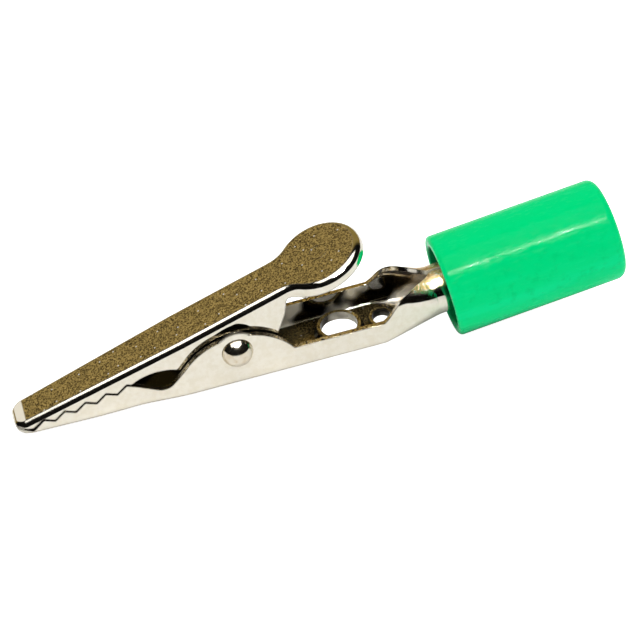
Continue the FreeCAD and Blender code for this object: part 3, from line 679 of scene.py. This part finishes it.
def stage_floor():
    """Pale table: white to the camera, with the clip's shadow, and plain to mirrors."""
    mesh = bpy.data.meshes.new("floor")
    corners = [
        (x * TABLE_HALF, y * TABLE_HALF, 0.0) for x, y in ((-1, -1), (1, -1), (1, 1), (-1, 1))]
    mesh.from_pydata(corners, [], [(0, 1, 2, 3)])
    floor = bpy.data.objects.new("floor", mesh)
    bpy.context.scene.collection.objects.link(floor)
    material = bpy.data.materials.new("floor")
    material.use_nodes = True
    nt = material.node_tree
    nt.nodes.clear()
    path = nt.nodes.new("ShaderNodeLightPath").outputs
    seen = most(nt, path["Is Camera Ray"], path["Is Glossy Ray"])
    seen = most(nt, seen, path["Is Transmission Ray"])
    camera_glow = times(nt, path["Is Camera Ray"], TABLE_CAMERA_GLOW)
    mirror_glow = times(nt, path["Is Glossy Ray"], TABLE_MIRROR_GLOW)
    diffuse = nt.nodes.new("ShaderNodeBsdfDiffuse")
    diffuse.inputs["Color"].default_value = (*TABLE, 1.0)
    glow = nt.nodes.new("ShaderNodeEmission")
    nt.links.new(value(nt, "ADD", camera_glow, mirror_glow), glow.inputs["Strength"])
    both = nt.nodes.new("ShaderNodeAddShader")
    nt.links.new(diffuse.outputs[0], both.inputs[0])
    nt.links.new(glow.outputs[0], both.inputs[1])
    choice = nt.nodes.new("ShaderNodeMixShader")
    nt.links.new(seen, choice.inputs["Fac"])
    nt.links.new(diffuse.outputs[0], choice.inputs[1])
    nt.links.new(both.outputs[0], choice.inputs[2])
    output = nt.nodes.new("ShaderNodeOutputMaterial")
    nt.links.new(choice.outputs[0], output.inputs[0])
    mesh.materials.append(material)


def stage_world():
    """White to the camera; mirrors see a dark room with a warm far wall."""
    world = bpy.data.worlds.new("studio")
    bpy.context.scene.world = world
    world.use_nodes = True
    nt = world.node_tree
    background = nt.nodes["Background"]
    direction = nt.nodes.new("ShaderNodeTexCoord").outputs["Generated"]
    room = mix_colour(nt, ramp(nt, split(nt, direction)[1], 0.40, 0.60), ROOM_DARK, ROOM_WARM)
    path = nt.nodes.new("ShaderNodeLightPath").outputs
    shade = mix_colour(nt, path["Is Diffuse Ray"], ROOM_WHITE, ROOM_SOFT)
    colour = mix_colour(nt, path["Is Glossy Ray"], shade, room)
    nt.links.new(colour, background.inputs["Color"])
    background.inputs["Strength"].default_value = 1.0


def lamp(name, size, power, at, aim):
    """A rectangular lamp, in metres and watts."""
    data = bpy.data.lights.new(name, "AREA")
    data.shape = "RECTANGLE"
    data.size, data.size_y = size
    data.energy = power
    light = bpy.data.objects.new(name, data)
    bpy.context.scene.collection.objects.link(light)
    light.location = at
    light.rotation_euler = (Vector(aim) - Vector(at)).to_track_quat("-Z", "Y").to_euler()
    return light


def stage_lights():
    """A broad box overhead, and a narrow strip that only reflections show."""
    lamp("overhead_box", (0.95, 0.46), 3.0, at=(-0.02, -0.04, 0.70), aim=(-0.02, -0.04, 0.0))
    strip = lamp("strip", (0.30, 0.010), 9.0, at=(0.02, -0.31, 0.63), aim=(0.0, 0.0, 0.0))
    strip.visible_diffuse = False


# The camera was fitted to the photograph. Its place and aim are in millimetres.

CAMERA_LENS = 127.83
CAMERA_SENSOR = 36.0
CAMERA_AT = (-34.092, -166.779, 149.393)
CAMERA_AIM = (0.121, -0.677, 5.0)
CAMERA_ROLL = -5.506


def stage_camera():
    data = bpy.data.cameras.new("camera")
    data.lens = CAMERA_LENS
    data.sensor_width = CAMERA_SENSOR
    camera = bpy.data.objects.new("camera", data)
    bpy.context.scene.collection.objects.link(camera)
    camera.location = Vector(CAMERA_AT) * MM
    aim = Vector(CAMERA_AIM) * MM
    roll = Euler((0.0, 0.0, math.radians(CAMERA_ROLL))).to_quaternion()
    camera.rotation_mode = "QUATERNION"
    camera.rotation_quaternion = (aim - camera.location).to_track_quat("-Z", "Y") @ roll
    bpy.context.scene.camera = camera


dress_jaws()
dress_rivet(rivet_steel())
dress_spring(spring_wire())
dress_sleeve(green_vinyl())
stage_floor()
stage_world()
stage_lights()
stage_camera()
bpy.context.scene.view_settings.view_transform = "Standard"
